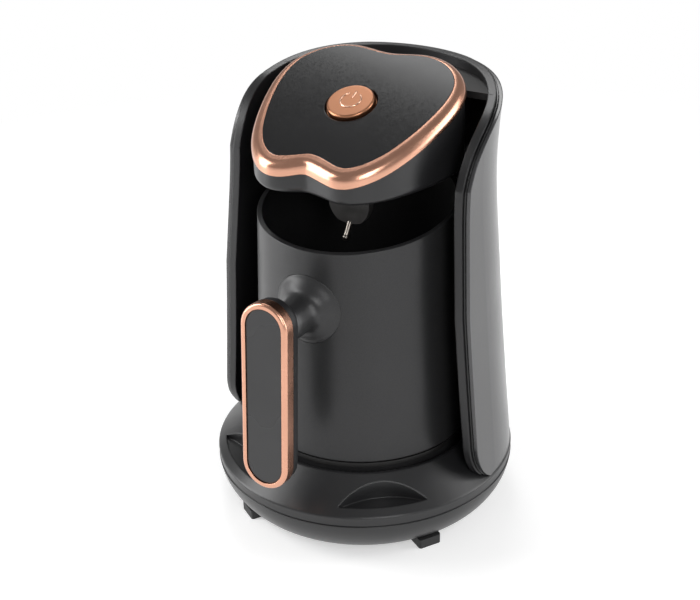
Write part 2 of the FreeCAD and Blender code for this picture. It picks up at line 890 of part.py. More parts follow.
def make_pot():
    body = new_body("pot_body")
    foot = D.plate_top
    top = D.pot_rim_height + 9.0
    step = foot + D.pot_ring_height
    turn(body, [
        (0, foot),
        (D.pot_foot_radius - 2.4, foot),
        (D.pot_foot_radius - 1.4, foot + 1.0, 1.0),
        (D.pot_foot_radius - 1.4, step),
        (pot_radius(step), step),
        (pot_radius(top), top),
        (pot_radius(top) - D.pot_wall, top),
        (pot_radius(foot + 6.0) - D.pot_wall - 1.4, foot + D.pot_floor + 3.4),
        (pot_radius(foot + 6.0) - D.pot_wall - 4.8, foot + D.pot_floor, -3.6),
        (0, foot + D.pot_floor),
    ])
    reach = 70.0
    cut_through(body, "YZ_Plane", [
        (-reach, D.pot_rim_height - D.pot_rim_slope * reach),
        (reach, D.pot_rim_height + D.pot_rim_slope * reach),
        (reach, 190),
        (-reach, 190),
    ])
    keep(body)
    ring = new_body("pot_foot_ring")
    turn(ring, [
        (D.pot_foot_radius - 1.4, foot + 0.4),
        (D.pot_foot_radius + 0.1, foot + 0.4),
        (D.pot_foot_radius + 0.1, step - 0.5),
        (D.pot_foot_radius - 1.4, step - 0.5),
    ])
    keep(ring)


def grip_frame():
    """The grip leans out at its foot: x right, y towards the pot, z up the grip."""
    origin = V(0, D.grip_centre_y.value, D.grip_centre_z.value)
    return FreeCAD.Placement(origin, FreeCAD.Rotation(V(1, 0, 0), -D.grip_lean.value))


def stadium(half_width, half_length, front, back):
    """A slab with round ends, from one depth to another, standing in the grip's frame."""
    straight = half_length - half_width
    edges = [
        Part.makeLine(V(half_width, front, -straight), V(half_width, front, straight)),
        Part.Arc(V(half_width, front, straight), V(0, front, half_length),
                 V(-half_width, front, straight)).toShape(),
        Part.makeLine(V(-half_width, front, straight), V(-half_width, front, -straight)),
        Part.Arc(V(-half_width, front, -straight), V(0, front, -half_length),
                 V(half_width, front, -straight)).toShape(),
    ]
    return Part.Face(Part.Wire(edges)).extrude(V(0, back - front, 0))


def rounded(solid, radius, depth):
    """Round the edges of a slab that lie at one depth."""
    edges = [edge for edge in solid.Edges
             if abs(edge.BoundBox.YMin - depth) < 0.01 and abs(edge.BoundBox.YMax - depth) < 0.01]
    return solid.makeFillet(radius, edges)


def make_handle():
    frame = grip_frame()
    width = D.grip_half_width.value
    length = D.grip_half_length.value
    inlay_width = D.inlay_half_width.value
    inlay_length = length - (width - inlay_width)

    pot_cone = Part.makeCone(
        D.pot_foot_radius.value, D.pot_rim_radius.value,
        (D.pot_rim_height - D.plate_top).value, V(0, 0, D.plate_top.value))
    neck = D.neck_radius.value
    boss = D.boss_radius.value
    root = -44.0
    profile = [
        V(0, root, 0), V(boss, root, 0), V(boss, -47.6, 0), V(neck + 1.2, -50.8, 0), V(neck, -54.5, 0),
        V(neck, -70.0, 0), V(0, -70.0, 0), V(0, root, 0),
    ]
    edges = [
        Part.makeLine(profile[0], profile[1]),
        Part.makeLine(profile[1], profile[2]),
        Part.Arc(profile[2], V(neck + 3.4, -49.3, 0), profile[4]).toShape(),
        Part.makeLine(profile[4], profile[5]),
        Part.makeLine(profile[5], profile[6]),
        Part.makeLine(profile[6], profile[7]),
    ]
    neck_solid = Part.Face(Part.Wire(edges)).revolve(V(0, 0, 0), V(0, 1, 0), 360)
    neck_solid.translate(V(0, 0, D.neck_height.value))
    neck_solid = neck_solid.cut(pot_cone)
    shank = Part.makeCylinder(2.0, 22.0, V(0, -72.0, D.neck_height.value), V(0, 1, 0))
    screw_head = Part.makeCylinder(3.6, 2.4, V(0, -72.0, D.neck_height.value), V(0, 1, 0))
    screw = shank.fuse(screw_head)
    keep(feature("handle_neck", neck_solid.cut(screw)))

    back = stadium(width - 0.5, length - 0.5, 1.4, 7.0)
    back = rounded(back, 2.2, 7.0)
    core = stadium(inlay_width, inlay_length, -2.0, 1.4)
    grip = back.fuse(core)
    grip.Placement = frame
    grip = grip.cut(neck_solid).cut(screw)
    keep(feature("handle_body", grip))
    keep(feature("handle_screw", screw))

    trim = stadium(width, length, -4.2, 1.4)
    trim = rounded(trim, 1.2, -4.2)
    trim = trim.cut(stadium(inlay_width, inlay_length, -10.0, 5.0))
    trim_part = feature("handle_trim", trim)
    trim_part.Placement = frame
    keep(trim_part)
    inlay = stadium(inlay_width - 0.15, inlay_length - 0.15, -3.8, -2.0)
    inlay = rounded(inlay, 0.5, -3.8)
    inlay_part = feature("handle_inlay", inlay)
    inlay_part.Placement = frame
    keep(inlay_part)


# Rear: a channel behind the pot, closed by the inner shell, and the wires that run up in it
def make_wire_channel():
    inner_face = D.inner_shell_wall + D.seam_band + D.outer_shell_wall + 0.15
    foot = D.shroud_foot_radius - inner_face
    waist = D.shroud_waist_radius - inner_face
    along = [(shroud_radius(height) - inner_face, height) for height in SHROUD_STATIONS[:3]]
    front_low = 54.6
    front_high = 47.4
    body = new_body("channel_moulding")
    turn(body, [
        (front_low, cover_height(front_low)),
        (foot, cover_height(foot)),
        (waist, D.head_bottom, along),
        (front_high, D.head_bottom),
    ])
    cut_through(body, "XY_Plane", [(-80, -80), (80, -80), (80, 20), (-80, 20)])
    half = CHANNEL_WIDTH / 2
    for side in (-1, 1):
        cut_through(body, "XY_Plane", sorted_box(side * half, side * 80))
    inside = Part.makeBox(CHANNEL_WIDTH - 4.0, 30.0, 160.0, V(2.0 - half, 0, 0))
    inside.rotate(V(0, 0, 0), V(1, 0, 0), CHANNEL_LEAN)
    inside.translate(V(0, front_low + 1.6, 30.0))
    keep(cut("wire_channel", body, feature("channel_inside", inside)))


CHANNEL_WIDTH = 18.0
CHANNEL_LEAN = 3.2


def sorted_box(first, second):
    """A tall rectangle on the plan between two values of x."""
    low = min(first, second)
    high = max(first, second)
    return [(low, 10), (high, 10), (high, 90), (low, 90)]


def wire_hole():
    """The hole in the cover that lets the wires up into the channel."""
    return Part.makeBox(9.0, 6.0, 30.0, V(-4.5, 56.6, 18.0))


def tube(points, bend, radius):
    """A round tube along straight runs, joined by tangent arcs of one bend radius."""
    edges = []
    start = points[0]
    for before, corner, after in zip(points, points[1:], points[2:]):
        inward = (corner - before).normalize()
        onward = (after - corner).normalize()
        turn_angle = inward.getAngle(onward)
        reach = bend * math.tan(turn_angle / 2)
        first = corner - inward * reach
        last = corner + onward * reach
        middle_way = (onward - inward).normalize()
        depth = bend / math.cos(turn_angle / 2) - bend
        edges.append(Part.makeLine(start, first))
        edges.append(Part.Arc(first, corner + middle_way * depth, last).toShape())
        start = last
    edges.append(Part.makeLine(start, points[-1]))
    section = Part.Wire([Part.makeCircle(radius, points[0], points[1] - points[0])])
    return Part.Wire(edges).makePipeShell([section], True, True)


def make_wire_loom():
    route = [
        V(14.0, 15.5, 17.5),
        V(14.0, 30.0, 17.5),
        V(0, 59.6, 19.0),
        V(0, 59.4, 40.0),
        V(0, 51.0, 164.0),
        V(0, 40.0, 180.0),
        V(0, 17.3, 186.0),
    ]
    keep(feature("wire_loom", tube(route, 5.0, 1.3)))


# Shroud screws: driven up through the cover into the foot of the inner shell
def shroud_screw_shapes():
    radius = (D.shroud_foot_radius - D.outer_shell_wall - D.seam_band).value - 1.8
    pieces = []
    for degrees in (102, 150, 210, 258):
        x, y = polar(radius, degrees)
        top = cover_height(radius)
        seat = as_size(top).value - 2.6
        head = Part.makeCylinder(2.2, 1.6, V(x, y, seat - 1.6))
        shank = Part.makeCylinder(1.1, 10.0, V(x, y, seat - 1.0))
        pieces.append(head.fuse(shank))
    return pieces


def make_shroud_screws():
    keep(feature("shroud_screws", Part.makeCompound(shroud_screw_shapes())))


doc_parts = [
    make_base_housing,
    make_rubber_feet,
    make_base_cover,
    make_hot_plate,
    make_heating_element,
    make_power_board,
    make_shroud,
    make_head,
    make_neck,
    make_button,
    make_control_board,
    make_sensor,
    make_pot,
    make_handle,
    make_wire_channel,
    make_wire_loom,
    make_shroud_screws,
    make_cord_grommet,
]
for make in doc_parts:
    make()
    doc.recompute()


# Check every object, then write each sub-part to its own file
for thing in doc.Objects:
    if "Invalid" in thing.State or "Error" in thing.State:
        raise RuntimeError(thing.Name + " could not be built: " + str(thing.State))
os.makedirs("parts", exist_ok=True)
for solid in kept:
    shape = solid.Shape
    if shape.isNull() or not shape.isValid():
        raise RuntimeError(solid.Label + " has no valid shape")
    shape.exportStep("parts/" + solid.Label + ".step")
    print(solid.Label, "solids", len(shape.Solids), "volume", round(shape.Volume))
print(len(kept), "sub-parts written")
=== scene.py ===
# %% [markdown]
# # An electric maker for pot-brewed coffee
#
# A round base with a hot plate carries a lift-out pot. Behind the pot stands a shroud, shaped
# like a wrapped sleeve, and from its top a head leans forward over the pot. The packed
# construction model gives every solid its true size and place. This lesson dresses those solids
# with finishes, adds the fine work that a workshop drawing leaves out, and sets up a studio.

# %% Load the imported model
import json
import math

import bmesh
import bpy
from mathutils import Matrix, Vector


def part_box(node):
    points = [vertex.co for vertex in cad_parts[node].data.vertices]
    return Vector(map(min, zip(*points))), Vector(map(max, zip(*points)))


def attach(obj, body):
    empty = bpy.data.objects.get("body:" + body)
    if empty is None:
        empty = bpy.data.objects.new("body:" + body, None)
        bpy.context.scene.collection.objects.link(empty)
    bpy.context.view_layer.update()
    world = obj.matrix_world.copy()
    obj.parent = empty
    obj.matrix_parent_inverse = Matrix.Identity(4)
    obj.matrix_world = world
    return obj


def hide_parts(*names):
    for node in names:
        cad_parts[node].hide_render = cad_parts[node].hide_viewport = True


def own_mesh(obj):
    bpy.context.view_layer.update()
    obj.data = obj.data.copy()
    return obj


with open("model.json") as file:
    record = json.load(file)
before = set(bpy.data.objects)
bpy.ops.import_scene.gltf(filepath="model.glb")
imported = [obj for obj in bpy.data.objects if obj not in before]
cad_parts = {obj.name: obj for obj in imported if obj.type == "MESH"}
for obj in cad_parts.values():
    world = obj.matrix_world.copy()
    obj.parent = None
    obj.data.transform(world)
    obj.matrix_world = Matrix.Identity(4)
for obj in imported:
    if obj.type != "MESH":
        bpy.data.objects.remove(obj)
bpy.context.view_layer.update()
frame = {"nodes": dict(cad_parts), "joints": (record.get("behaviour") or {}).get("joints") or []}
nodes = frame["nodes"]
MM = 0.001

# %% [markdown]
# ## The camera
# A product photograph is taken from a little above and to one side with a longish lens. The
# camera is placed on a sphere round a point at half the object's height. Its three axes are
# worked out by hand, because that shows what a camera matrix is: the columns are its right, its
# up and the direction that points back at the photographer.

# %% Place the camera
AZIMUTH = math.radians(31.5)
ELEVATION = math.radians(27.35)
ROLL = math.radians(-1.6)
DISTANCE = 0.630
AIM_HEIGHT = 0.0973
AIM_SIDEWAYS = -0.00527

right = Vector((math.cos(AZIMUTH), math.sin(AZIMUTH), 0))
back = Vector((
    math.sin(AZIMUTH) * math.cos(ELEVATION),
    -math.cos(AZIMUTH) * math.cos(ELEVATION),
    math.sin(ELEVATION),
))
up = back.cross(right)
aim = Vector((0, 0, AIM_HEIGHT)) + right * AIM_SIDEWAYS
rolled_right = right * math.cos(ROLL) + up * math.sin(ROLL)
rolled_up = up * math.cos(ROLL) - right * math.sin(ROLL)

lens = bpy.data.cameras.new("studio_camera")
lens.sensor_fit = "HORIZONTAL"
lens.sensor_width = 36.0
lens.lens = 70.86
lens.clip_start = 0.01
camera = bpy.data.objects.new("studio_camera", lens)
bpy.context.scene.collection.objects.link(camera)
columns = Matrix((rolled_right, rolled_up, back)).transposed().to_4x4()
camera.matrix_world = Matrix.Translation(aim + back * DISTANCE) @ columns
bpy.context.scene.camera = camera
bpy.context.scene.view_settings.view_transform = "Standard"
print("camera at", [round(value, 3) for value in camera.location])

# %% [markdown]
# ## Node helpers
# Every finish below is a small tree of shader nodes. The helpers keep the trees readable: they
# add a node and fill its sockets, start a material, lay noise over a piece, and let that noise
# drive the colour, the roughness or the bumps. Patterns read Object coordinates, which are
# metres here, so a noise scale of 4000 gives grains of a quarter of a millimetre.


# %% Helpers for shader trees
BEVEL_SAMPLES = 6


def add_node(tree, kind, **sockets):
    node = tree.nodes.new(kind)
    for name, value in sockets.items():
        node.inputs[name.replace("_", " ")].default_value = value
    return node


def start_material(name):
    material = bpy.data.materials.new(name)
    material.use_nodes = True
    shader = material.node_tree.nodes["Principled BSDF"]
    return material, material.node_tree, shader


def noise_on_object(tree, scale, detail=2.0, stretch=(1.0, 1.0, 1.0)):
    """Noise over the piece's own coordinates, stretched along an axis where wanted."""
    place = tree.nodes.new("ShaderNodeTexCoord")
    mapping = add_node(tree, "ShaderNodeMapping", Scale=stretch)
    noise = add_node(tree, "ShaderNodeTexNoise", Scale=scale, Detail=detail, Roughness=0.55)
    tree.links.new(place.outputs["Object"], mapping.inputs["Vector"])
    tree.links.new(mapping.outputs["Vector"], noise.inputs["Vector"])
    return noise.outputs["Fac"]


def spread(tree, source, low, high):
    """Turn a noise value of about 0.3 to 0.7 into a value between low and high."""
    ramp = add_node(
        tree, "ShaderNodeMapRange", From_Min=0.3, From_Max=0.7, To_Min=low, To_Max=high
    )
    tree.links.new(source, ramp.inputs["Value"])
    return ramp.outputs["Result"]


def tint(colour, factor):
    """The colour, lighter or darker, with a full alpha."""
    return tuple(min(1.0, part * factor) for part in colour) + (1.0,)


def vary_colour(tree, shader, source, colour, amount):
    """Let the colour drift a little, as a moulding or a plated part does."""
    mix = tree.nodes.new("ShaderNodeMix")
    mix.data_type = "RGBA"
    mix.inputs[6].default_value = tint(colour, 1.0 - amount)
    mix.inputs[7].default_value = tint(colour, 1.0 + amount)
    tree.links.new(source, mix.inputs[0])
    tree.links.new(mix.outputs[2], shader.inputs["Base Color"])


def vary_roughness(tree, shader, source, low, high):
    tree.links.new(spread(tree, source, low, high), shader.inputs["Roughness"])


def add_bumps(tree, shader, sources, edge=0.0):
    """Chain bump nodes, one for each (height source, depth in metres), on softened edges."""
    last = None
    if edge:
        last = add_node(tree, "ShaderNodeBevel", Radius=edge)
        last.samples = BEVEL_SAMPLES
    for source, depth in sources:
        bump = add_node(tree, "ShaderNodeBump", Strength=1.0, Distance=depth)
        tree.links.new(source, bump.inputs["Height"])
        if last:
            tree.links.new(last.outputs["Normal"], bump.inputs["Normal"])
        last = bump
    tree.links.new(last.outputs["Normal"], shader.inputs["Normal"])


# %% [markdown]
# ## Moulded plastic
# The shell is dyed black plastic from a spark-eroded mould: a fine even grain, a soft sheen and
# slightly shinier places where hands and cloths have been. The grain is a bump from fine noise.
# A second, slow noise lets colour and roughness drift over a few centimetres, which is what
# stops a black surface from looking like paint in a computer.


# %% Moulded plastics
def moulded(
    name, colour, roughness, grain=3200.0, depth=0.000010, polish=0.04, specular=0.5, edge=0.0
):
    material, tree, shader = start_material(name)
    grains = noise_on_object(tree, grain, 3.0)
    flow = noise_on_object(tree, 26.0, 2.0)
    vary_colour(tree, shader, spread(tree, flow, 0.0, 1.0), colour, 0.12)
    vary_roughness(tree, shader, flow, roughness - polish, roughness + polish)
    shader.inputs["Specular IOR Level"].default_value = specular
    add_bumps(tree, shader, [(grains, depth)], edge)
    return material


shell_plastic = moulded("shell_plastic", (0.014, 0.014, 0.015), 0.33, edge=0.0009)
inner_plastic = moulded("inner_plastic", (0.010, 0.0095, 0.0095), 0.46, depth=0.00002)
side_plastic = moulded(
    "side_plastic", (0.030, 0.030, 0.032), 0.24, depth=0.000004, specular=0.9, edge=0.0007
)
grip_plastic = moulded(
    "grip_plastic", (0.022, 0.022, 0.023), 0.27, grain=4200.0, depth=0.000004, edge=0.0004
)
white_plastic = moulded("white_plastic", (0.70, 0.69, 0.65), 0.40)
blue_plastic = moulded("blue_plastic", (0.03, 0.11, 0.34), 0.30)
print("materials so far:", len(bpy.data.materials))

# %% [markdown]
# ## Gloss black
# The control panel and the seam line of the shroud are polished in the mould. A gloss surface
# shows the room, so it needs almost no colour of its own. A very long, shallow wave in the
# bump gives the reflections the slight drift that real mouldings have.


# %% Gloss black
def gloss_black(name, roughness):
    material, tree, shader = start_material(name)
    waves = noise_on_object(tree, 38.0, 1.0)
    dust = noise_on_object(tree, 900.0, 4.0)
    vary_colour(tree, shader, spread(tree, waves, 0.0, 1.0), (0.004, 0.004, 0.0045), 0.2)
    vary_roughness(tree, shader, dust, roughness * 0.8, roughness * 1.3)
    add_bumps(tree, shader, [(waves, 0.00002)], edge=0.0005)
    return material


panel_gloss = gloss_black("panel_gloss", 0.14)
seam_gloss = gloss_black("seam_gloss", 0.22)

# %% [markdown]
# ## Rose gold
# The trims and the button are plated. Plating is a metal film, so the shader is fully metallic
# and the colour is the colour of its reflections. A fine satin comes from blasting the tool: a
# dense grain, deeper on the button than on the trims. The mark on the button is polished, so it
# is smoother than the cap, and its much lighter colour is a painted highlight on its raised line.


# %% Rose gold plating
def plated(name, colour, roughness, grain_depth):
    material, tree, shader = start_material(name)
    shader.inputs["Metallic"].default_value = 1.0
    grains = noise_on_object(tree, 5200.0, 2.0)
    clouds = noise_on_object(tree, 60.0, 2.0)
    vary_colour(tree, shader, spread(tree, clouds, 0.0, 1.0), colour, 0.04)
    vary_roughness(tree, shader, clouds, roughness - 0.02, roughness + 0.03)
    add_bumps(tree, shader, [(grains, grain_depth)], edge=0.0004)
    return material


trim_plating = plated("trim_plating", (0.68, 0.36, 0.25), 0.25, 0.0000015)
button_plating = plated("button_plating", (0.46, 0.21, 0.115), 0.36, 0.000005)
# The mark's pale colour is a painted highlight; only its lower roughness comes from polish.
symbol_plating_painted_highlight = plated("symbol_plating_painted_highlight", (0.95, 0.64, 0.48), 0.18, 0.000001)

# %% [markdown]
# ## The pot's coating
# The pot is spun aluminium with a baked non-stick coat: dark grey, with tiny metallic flakes
# and a trace of the turning lines, which run round the pot. The lines are a noise that is
# stretched round the pot and squeezed along its height, so no two are alike.


# %% Non-stick coat
def baked_coat(name, colour, roughness):
    material, tree, shader = start_material(name)
    shader.inputs["Metallic"].default_value = 0.35
    flakes = noise_on_object(tree, 5200.0, 1.0)
    turned = noise_on_object(tree, 30.0, 4.0, (0.2, 0.2, 60.0))
    clouds = noise_on_object(tree, 34.0, 2.0)
    vary_colour(tree, shader, spread(tree, flakes, 0.0, 1.0), colour, 0.3)
    vary_roughness(tree, shader, clouds, roughness - 0.04, roughness + 0.05)
    add_bumps(tree, shader, [(flakes, 0.000008), (turned, 0.000003)], edge=0.0006)
    return material


pot_coat = baked_coat("pot_coat", (0.030, 0.030, 0.031), 0.36)


# %% [markdown]
# ## Turned rings on the hot plate
# The plate is cast and then turned on a lathe, so its face shows fine rings. The tool's feed
# sets them the same distance apart, which is what a wave texture of rings draws. They sit on
# top of the coat's own bumps, so the plate gets a material of its own.

# %% Rings on the plate
plate_coat = baked_coat("plate_coat", (0.040, 0.040, 0.042), 0.42)
tree = plate_coat.node_tree
shader = tree.nodes["Principled BSDF"]
coat_normal = shader.inputs["Normal"].links[0].from_socket
place = tree.nodes.new("ShaderNodeTexCoord")
lathe = add_node(tree, "ShaderNodeTexWave", Scale=105.0)
lathe.wave_type = "RINGS"
lathe.rings_direction = "Z"
lathe_bump = add_node(tree, "ShaderNodeBump", Strength=1.0, Distance=0.00006)
tree.links.new(place.outputs["Object"], lathe.inputs["Vector"])
tree.links.new(lathe.outputs["Fac"], lathe_bump.inputs["Height"])
tree.links.new(coat_normal, lathe_bump.inputs["Normal"])
tree.links.new(lathe_bump.outputs["Normal"], shader.inputs["Normal"])
print("plate material has", len(tree.nodes), "nodes")


# %% [markdown]
# ## Bright metal, rubber and boards
# The parts inside are seen through gaps or from below. They still get their own finishes, so
# the model can be opened: brushed steel, nickel, soft rubber, and the green mask of a circuit
# board, which is glass cloth under lacquer and shows a faint weave.


# %% Metals, rubbers and boards
def bright_metal(name, colour, roughness, stretch):
    material, tree, shader = start_material(name)
    shader.inputs["Metallic"].default_value = 1.0
    brushed = noise_on_object(tree, 900.0, 3.0, stretch)
    vary_colour(tree, shader, spread(tree, brushed, 0.0, 1.0), colour, 0.06)
    vary_roughness(tree, shader, brushed, roughness * 0.8, roughness * 1.25)
    add_bumps(tree, shader, [(brushed, 0.000003)])
    return material


def soft_rubber(name, colour, roughness):
    material, tree, shader = start_material(name)
    skin = noise_on_object(tree, 2400.0, 3.0)
    bloom = noise_on_object(tree, 180.0, 3.0)
    vary_colour(tree, shader, spread(tree, bloom, 0.0, 1.0), colour, 0.25)
    vary_roughness(tree, shader, bloom, roughness - 0.06, roughness + 0.06)
    add_bumps(tree, shader, [(skin, 0.00002)])
    return material


def board_mask(name):
    material, tree, shader = start_material(name)
    place = tree.nodes.new("ShaderNodeTexCoord")
    weave = add_node(tree, "ShaderNodeTexWave", Scale=900.0, Distortion=0.6)
    tree.links.new(place.outputs["Object"], weave.inputs["Vector"])
    vary_colour(tree, shader, weave.outputs["Fac"], (0.012, 0.11, 0.045), 0.12)
    shader.inputs["Roughness"].default_value = 0.3
    add_bumps(tree, shader, [(weave.outputs["Fac"], 0.000008)])
    return material


steel = bright_metal("steel", (0.62, 0.62, 0.63), 0.30, (1.0, 1.0, 0.1))
nickel = bright_metal("nickel", (0.30, 0.27, 0.24), 0.32, (1.0, 1.0, 1.0))
foot_rubber = soft_rubber("foot_rubber", (0.020, 0.020, 0.021), 0.62)
flap_silicone = soft_rubber("flap_silicone", (0.045, 0.043, 0.042), 0.5)
wire_cover = soft_rubber("wire_cover", (0.35, 0.03, 0.03), 0.42)
green_board = board_mask("green_board")
print("materials now:", len(bpy.data.materials))

# %% [markdown]
# ## Dress the solids
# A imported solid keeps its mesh. Only its material changes, through the material slot of its
# object, so what moves and what collides stays as it was built.

# %% Give each solid its finish
FINISHES = {
    shell_plastic: ["base_housing", "base_cover", "inner_shell", "head_body", "handle_body"],
    inner_plastic: ["head_underside", "neck_housing", "top_deck", "button_switch", "buzzer",
                    "pot_foot_ring", "wire_channel"],
    side_plastic: ["outer_shell"],
    panel_gloss: ["head_panel"],
    seam_gloss: ["edge_trim"],
    trim_plating: ["panel_trim", "handle_trim"],
    button_plating: ["power_button"],
    pot_coat: ["pot_body"],
    plate_coat: ["hot_plate"],
    grip_plastic: ["handle_inlay"],
    steel: ["heating_element", "shroud_screws", "button_spring", "board_screws", "handle_screw"],
    nickel: ["sensor_probe", "thermal_fuse"],
    foot_rubber: ["rubber_feet", "plate_seal", "cord_grommet"],
    flap_silicone: ["sensor_flap"],
    wire_cover: ["wire_loom"],
    green_board: ["power_board", "control_board"],
    white_plastic: ["thermostat", "terminal_block"],
    blue_plastic: ["relay"],
}
dressed = set()
for material, names in FINISHES.items():
    for name in names:
        for slot in nodes[name].material_slots:
            slot.material = material
        dressed.add(name)
print("dressed", len(dressed), "bare:", sorted(set(nodes) - dressed))

# %% [markdown]
# ## The power symbol
# The button carries the usual mark for power, a broken ring with a bar in its gap, raised on
# the cap. A round line along a curve draws it: the ring is an arc of short chords, the bar is
# one straight run. A ray that falls on the cap gives each point its height, so the line lies
# half sunk in the cap's face. The two curves become one mesh.

# %% The slope of the panel and the middle of the cap
BUTTON_AXIS = Vector(frame["joints"][0]["axis"])
cap_out = -BUTTON_AXIS.normalized()
cap_up = Vector((0, cap_out.z, -cap_out.y))
cap = nodes["power_button"]
cap_low, cap_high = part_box("power_button")
RAY_START = 20 * MM
above_cap = (cap_low + cap_high) / 2 + cap_out * RAY_START
cap_centre = cap.ray_cast(above_cap, -cap_out)[1]
slope = Matrix((Vector((1, 0, 0)), cap_up, cap_out)).transposed().to_4x4()
cap_frame = Matrix.Translation(cap_centre) @ slope
print("cap centre, mm:", [round(value / MM, 1) for value in cap_centre])


def on_cap(x, y):
    """The point of the cap's face below a point that is x to the right and y up the slope."""
    start = cap_frame @ Vector((x, y, RAY_START))
    found, hit = cap.ray_cast(start, -cap_out)[:2]
    if not found:
        raise RuntimeError("the mark runs off the cap")
    return hit


# %% Draw the mark and seat it on the cap
def drawn_line(points, radius):
    """A round line, half sunk in the cap, through points on its face, as a mesh."""
    curve = bpy.data.curves.new("line", "CURVE")
    curve.dimensions = "3D"
    curve.bevel_depth = radius
    curve.bevel_resolution = 3
    curve.use_fill_caps = True
    spline = curve.splines.new("POLY")
    spline.points.add(len(points) - 1)
    for spot, (x, y) in zip(spline.points, points):
        spot.co = on_cap(x, y).to_4d()
    thing = bpy.data.objects.new("line", curve)
    mesh = bpy.data.meshes.new_from_object(thing)
    bpy.data.objects.remove(thing)
    return mesh


RING_RADIUS = 4.6 * MM
GAP_HALF_ANGLE = 32
LINE_RADIUS = 0.30 * MM
CHORDS = 48
BAR_LOW, BAR_HIGH = 1.2 * MM, 5.4 * MM
ring_points = []
for step in range(CHORDS + 1):
    turn = math.radians(90 + GAP_HALF_ANGLE + (360 - 2 * GAP_HALF_ANGLE) * step / CHORDS)
    ring_points.append((RING_RADIUS * math.cos(turn), RING_RADIUS * math.sin(turn)))
bar_points = [(0.0, BAR_LOW), (0.0, BAR_HIGH)]


def mesh_piece(name, meshes, material):
    """Join meshes into one piece and give it its finish."""
    joined = bmesh.new()
    for mesh in meshes:
        joined.from_mesh(mesh)
    bmesh.ops.recalc_face_normals(joined, faces=joined.faces)
    mesh = bpy.data.meshes.new(name)
    joined.to_mesh(mesh)
    joined.free()
    for face in mesh.polygons:
        face.use_smooth = True
    mesh.materials.clear()
    mesh.materials.append(material)
    piece = bpy.data.objects.new(name, mesh)
    bpy.context.scene.collection.objects.link(piece)
    return piece


lines = [drawn_line(ring_points, LINE_RADIUS), drawn_line(bar_points, LINE_RADIUS)]
power_mark = mesh_piece("power_mark", lines, symbol_plating_painted_highlight)
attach(power_mark, "button")
print("mark:", len(power_mark.data.polygons), "faces")

# %% [markdown]
# ## The return spring
# The construction model's spring is a coil of six-sided wire. Here it is drawn from round wire
# with the same radius and the same three live turns, and with most of a dead turn at each end,
# which is how a spring stands flat. It stands on the board and carries the flange of the cap.
# The coil is drawn at rest and moves with the housing; it does not shorten as the button goes
# down.

# %% Draw the spring
COIL_RADIUS = 4.2 * MM
WIRE_RADIUS = 0.33 * MM
LIVE_TURNS = 3
DEAD_TURNS = 0.75
STEPS_PER_TURN = 28
along = [(vertex.co - cap_centre).dot(cap_out) for vertex in nodes["button_spring"].data.vertices]
coil_low, coil_high = min(along) + WIRE_RADIUS, max(along) - WIRE_RADIUS


def coil_mesh():
    curve = bpy.data.curves.new("coil", "CURVE")
    curve.dimensions = "3D"
    curve.bevel_depth = WIRE_RADIUS
    curve.bevel_resolution = 2
    curve.use_fill_caps = True
    turns = LIVE_TURNS + 2 * DEAD_TURNS
    count = int(turns * STEPS_PER_TURN)
    spline = curve.splines.new("POLY")
    spline.points.add(count)
    for step in range(count + 1):
        turned = turns * step / count
        rise = max(0.0, min(1.0, (turned - DEAD_TURNS) / LIVE_TURNS))
        angle = 2 * math.pi * turned
        spot = Vector((
            COIL_RADIUS * math.cos(angle),
            COIL_RADIUS * math.sin(angle),
            coil_low + (coil_high - coil_low) * rise,
        ))
        spline.points[step].co = (cap_frame @ spot).to_4d()
    thing = bpy.data.objects.new("coil", curve)
    mesh = bpy.data.meshes.new_from_object(thing)
    bpy.data.objects.remove(thing)
    return mesh


return_coil = mesh_piece("return_coil", [coil_mesh()], steel)
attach(return_coil, "housing")
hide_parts("button_spring")
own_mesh(return_coil)

# %% [markdown]
# ## The flare where the grip meets the pot
# The grip's tube is welded to a pressed boss, and the coating covers the joint, so metal flows
# from wall to tube without an edge. The boss lies on a wall that is itself round. So the flare
# is drawn as rings about the tube's axis: each ring has a radius and a height above the wall.
# The points of the wide rings start from the wall's own round surface, and those near the tube
# from a flat one, so that the tube ends square. Subdivision then rounds the steps.

# %% Measure the pot's wall
NECK_HEIGHT = (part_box("handle_neck")[0].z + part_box("handle_neck")[1].z) / 2
NECK_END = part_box("handle_neck")[0].y
ABOVE_FOOT_BAND = 0.0425
OUTSIDE_LINING = 0.0445
wall_points = []
for vertex in nodes["pot_body"].data.vertices:
    reach = math.hypot(vertex.co.x, vertex.co.y)
    if vertex.co.z > ABOVE_FOOT_BAND and reach > OUTSIDE_LINING:
        wall_points.append((vertex.co.z, reach))
low_wall = max(wall_points, key=lambda point: point[1])
high_wall = max(wall_points, key=lambda point: point[0])
wall_taper = (low_wall[1] - high_wall[1]) / (high_wall[0] - low_wall[0])
print("wall taper:", round(wall_taper, 4), "neck height, mm:", round(NECK_HEIGHT / MM, 1))


# %% Draw the flare
def wall_radius(height):
    return low_wall[1] - wall_taper * (height - low_wall[0])


FLARE = [
    (17.0, -0.20), (16.0, 0.03), (15.0, 0.20), (14.1, 0.60), (13.2, 1.20), (12.2, 1.85),
    (11.2, 2.40), (10.2, 2.85), (9.3, 3.45), (8.6, 4.60), (8.15, 6.40), (8.0, 8.60), (8.0, 12.0),
]
TUBE_RADIUS = 8.0
FOLLOW_WIDTH = 3.0
SPOKES = 48


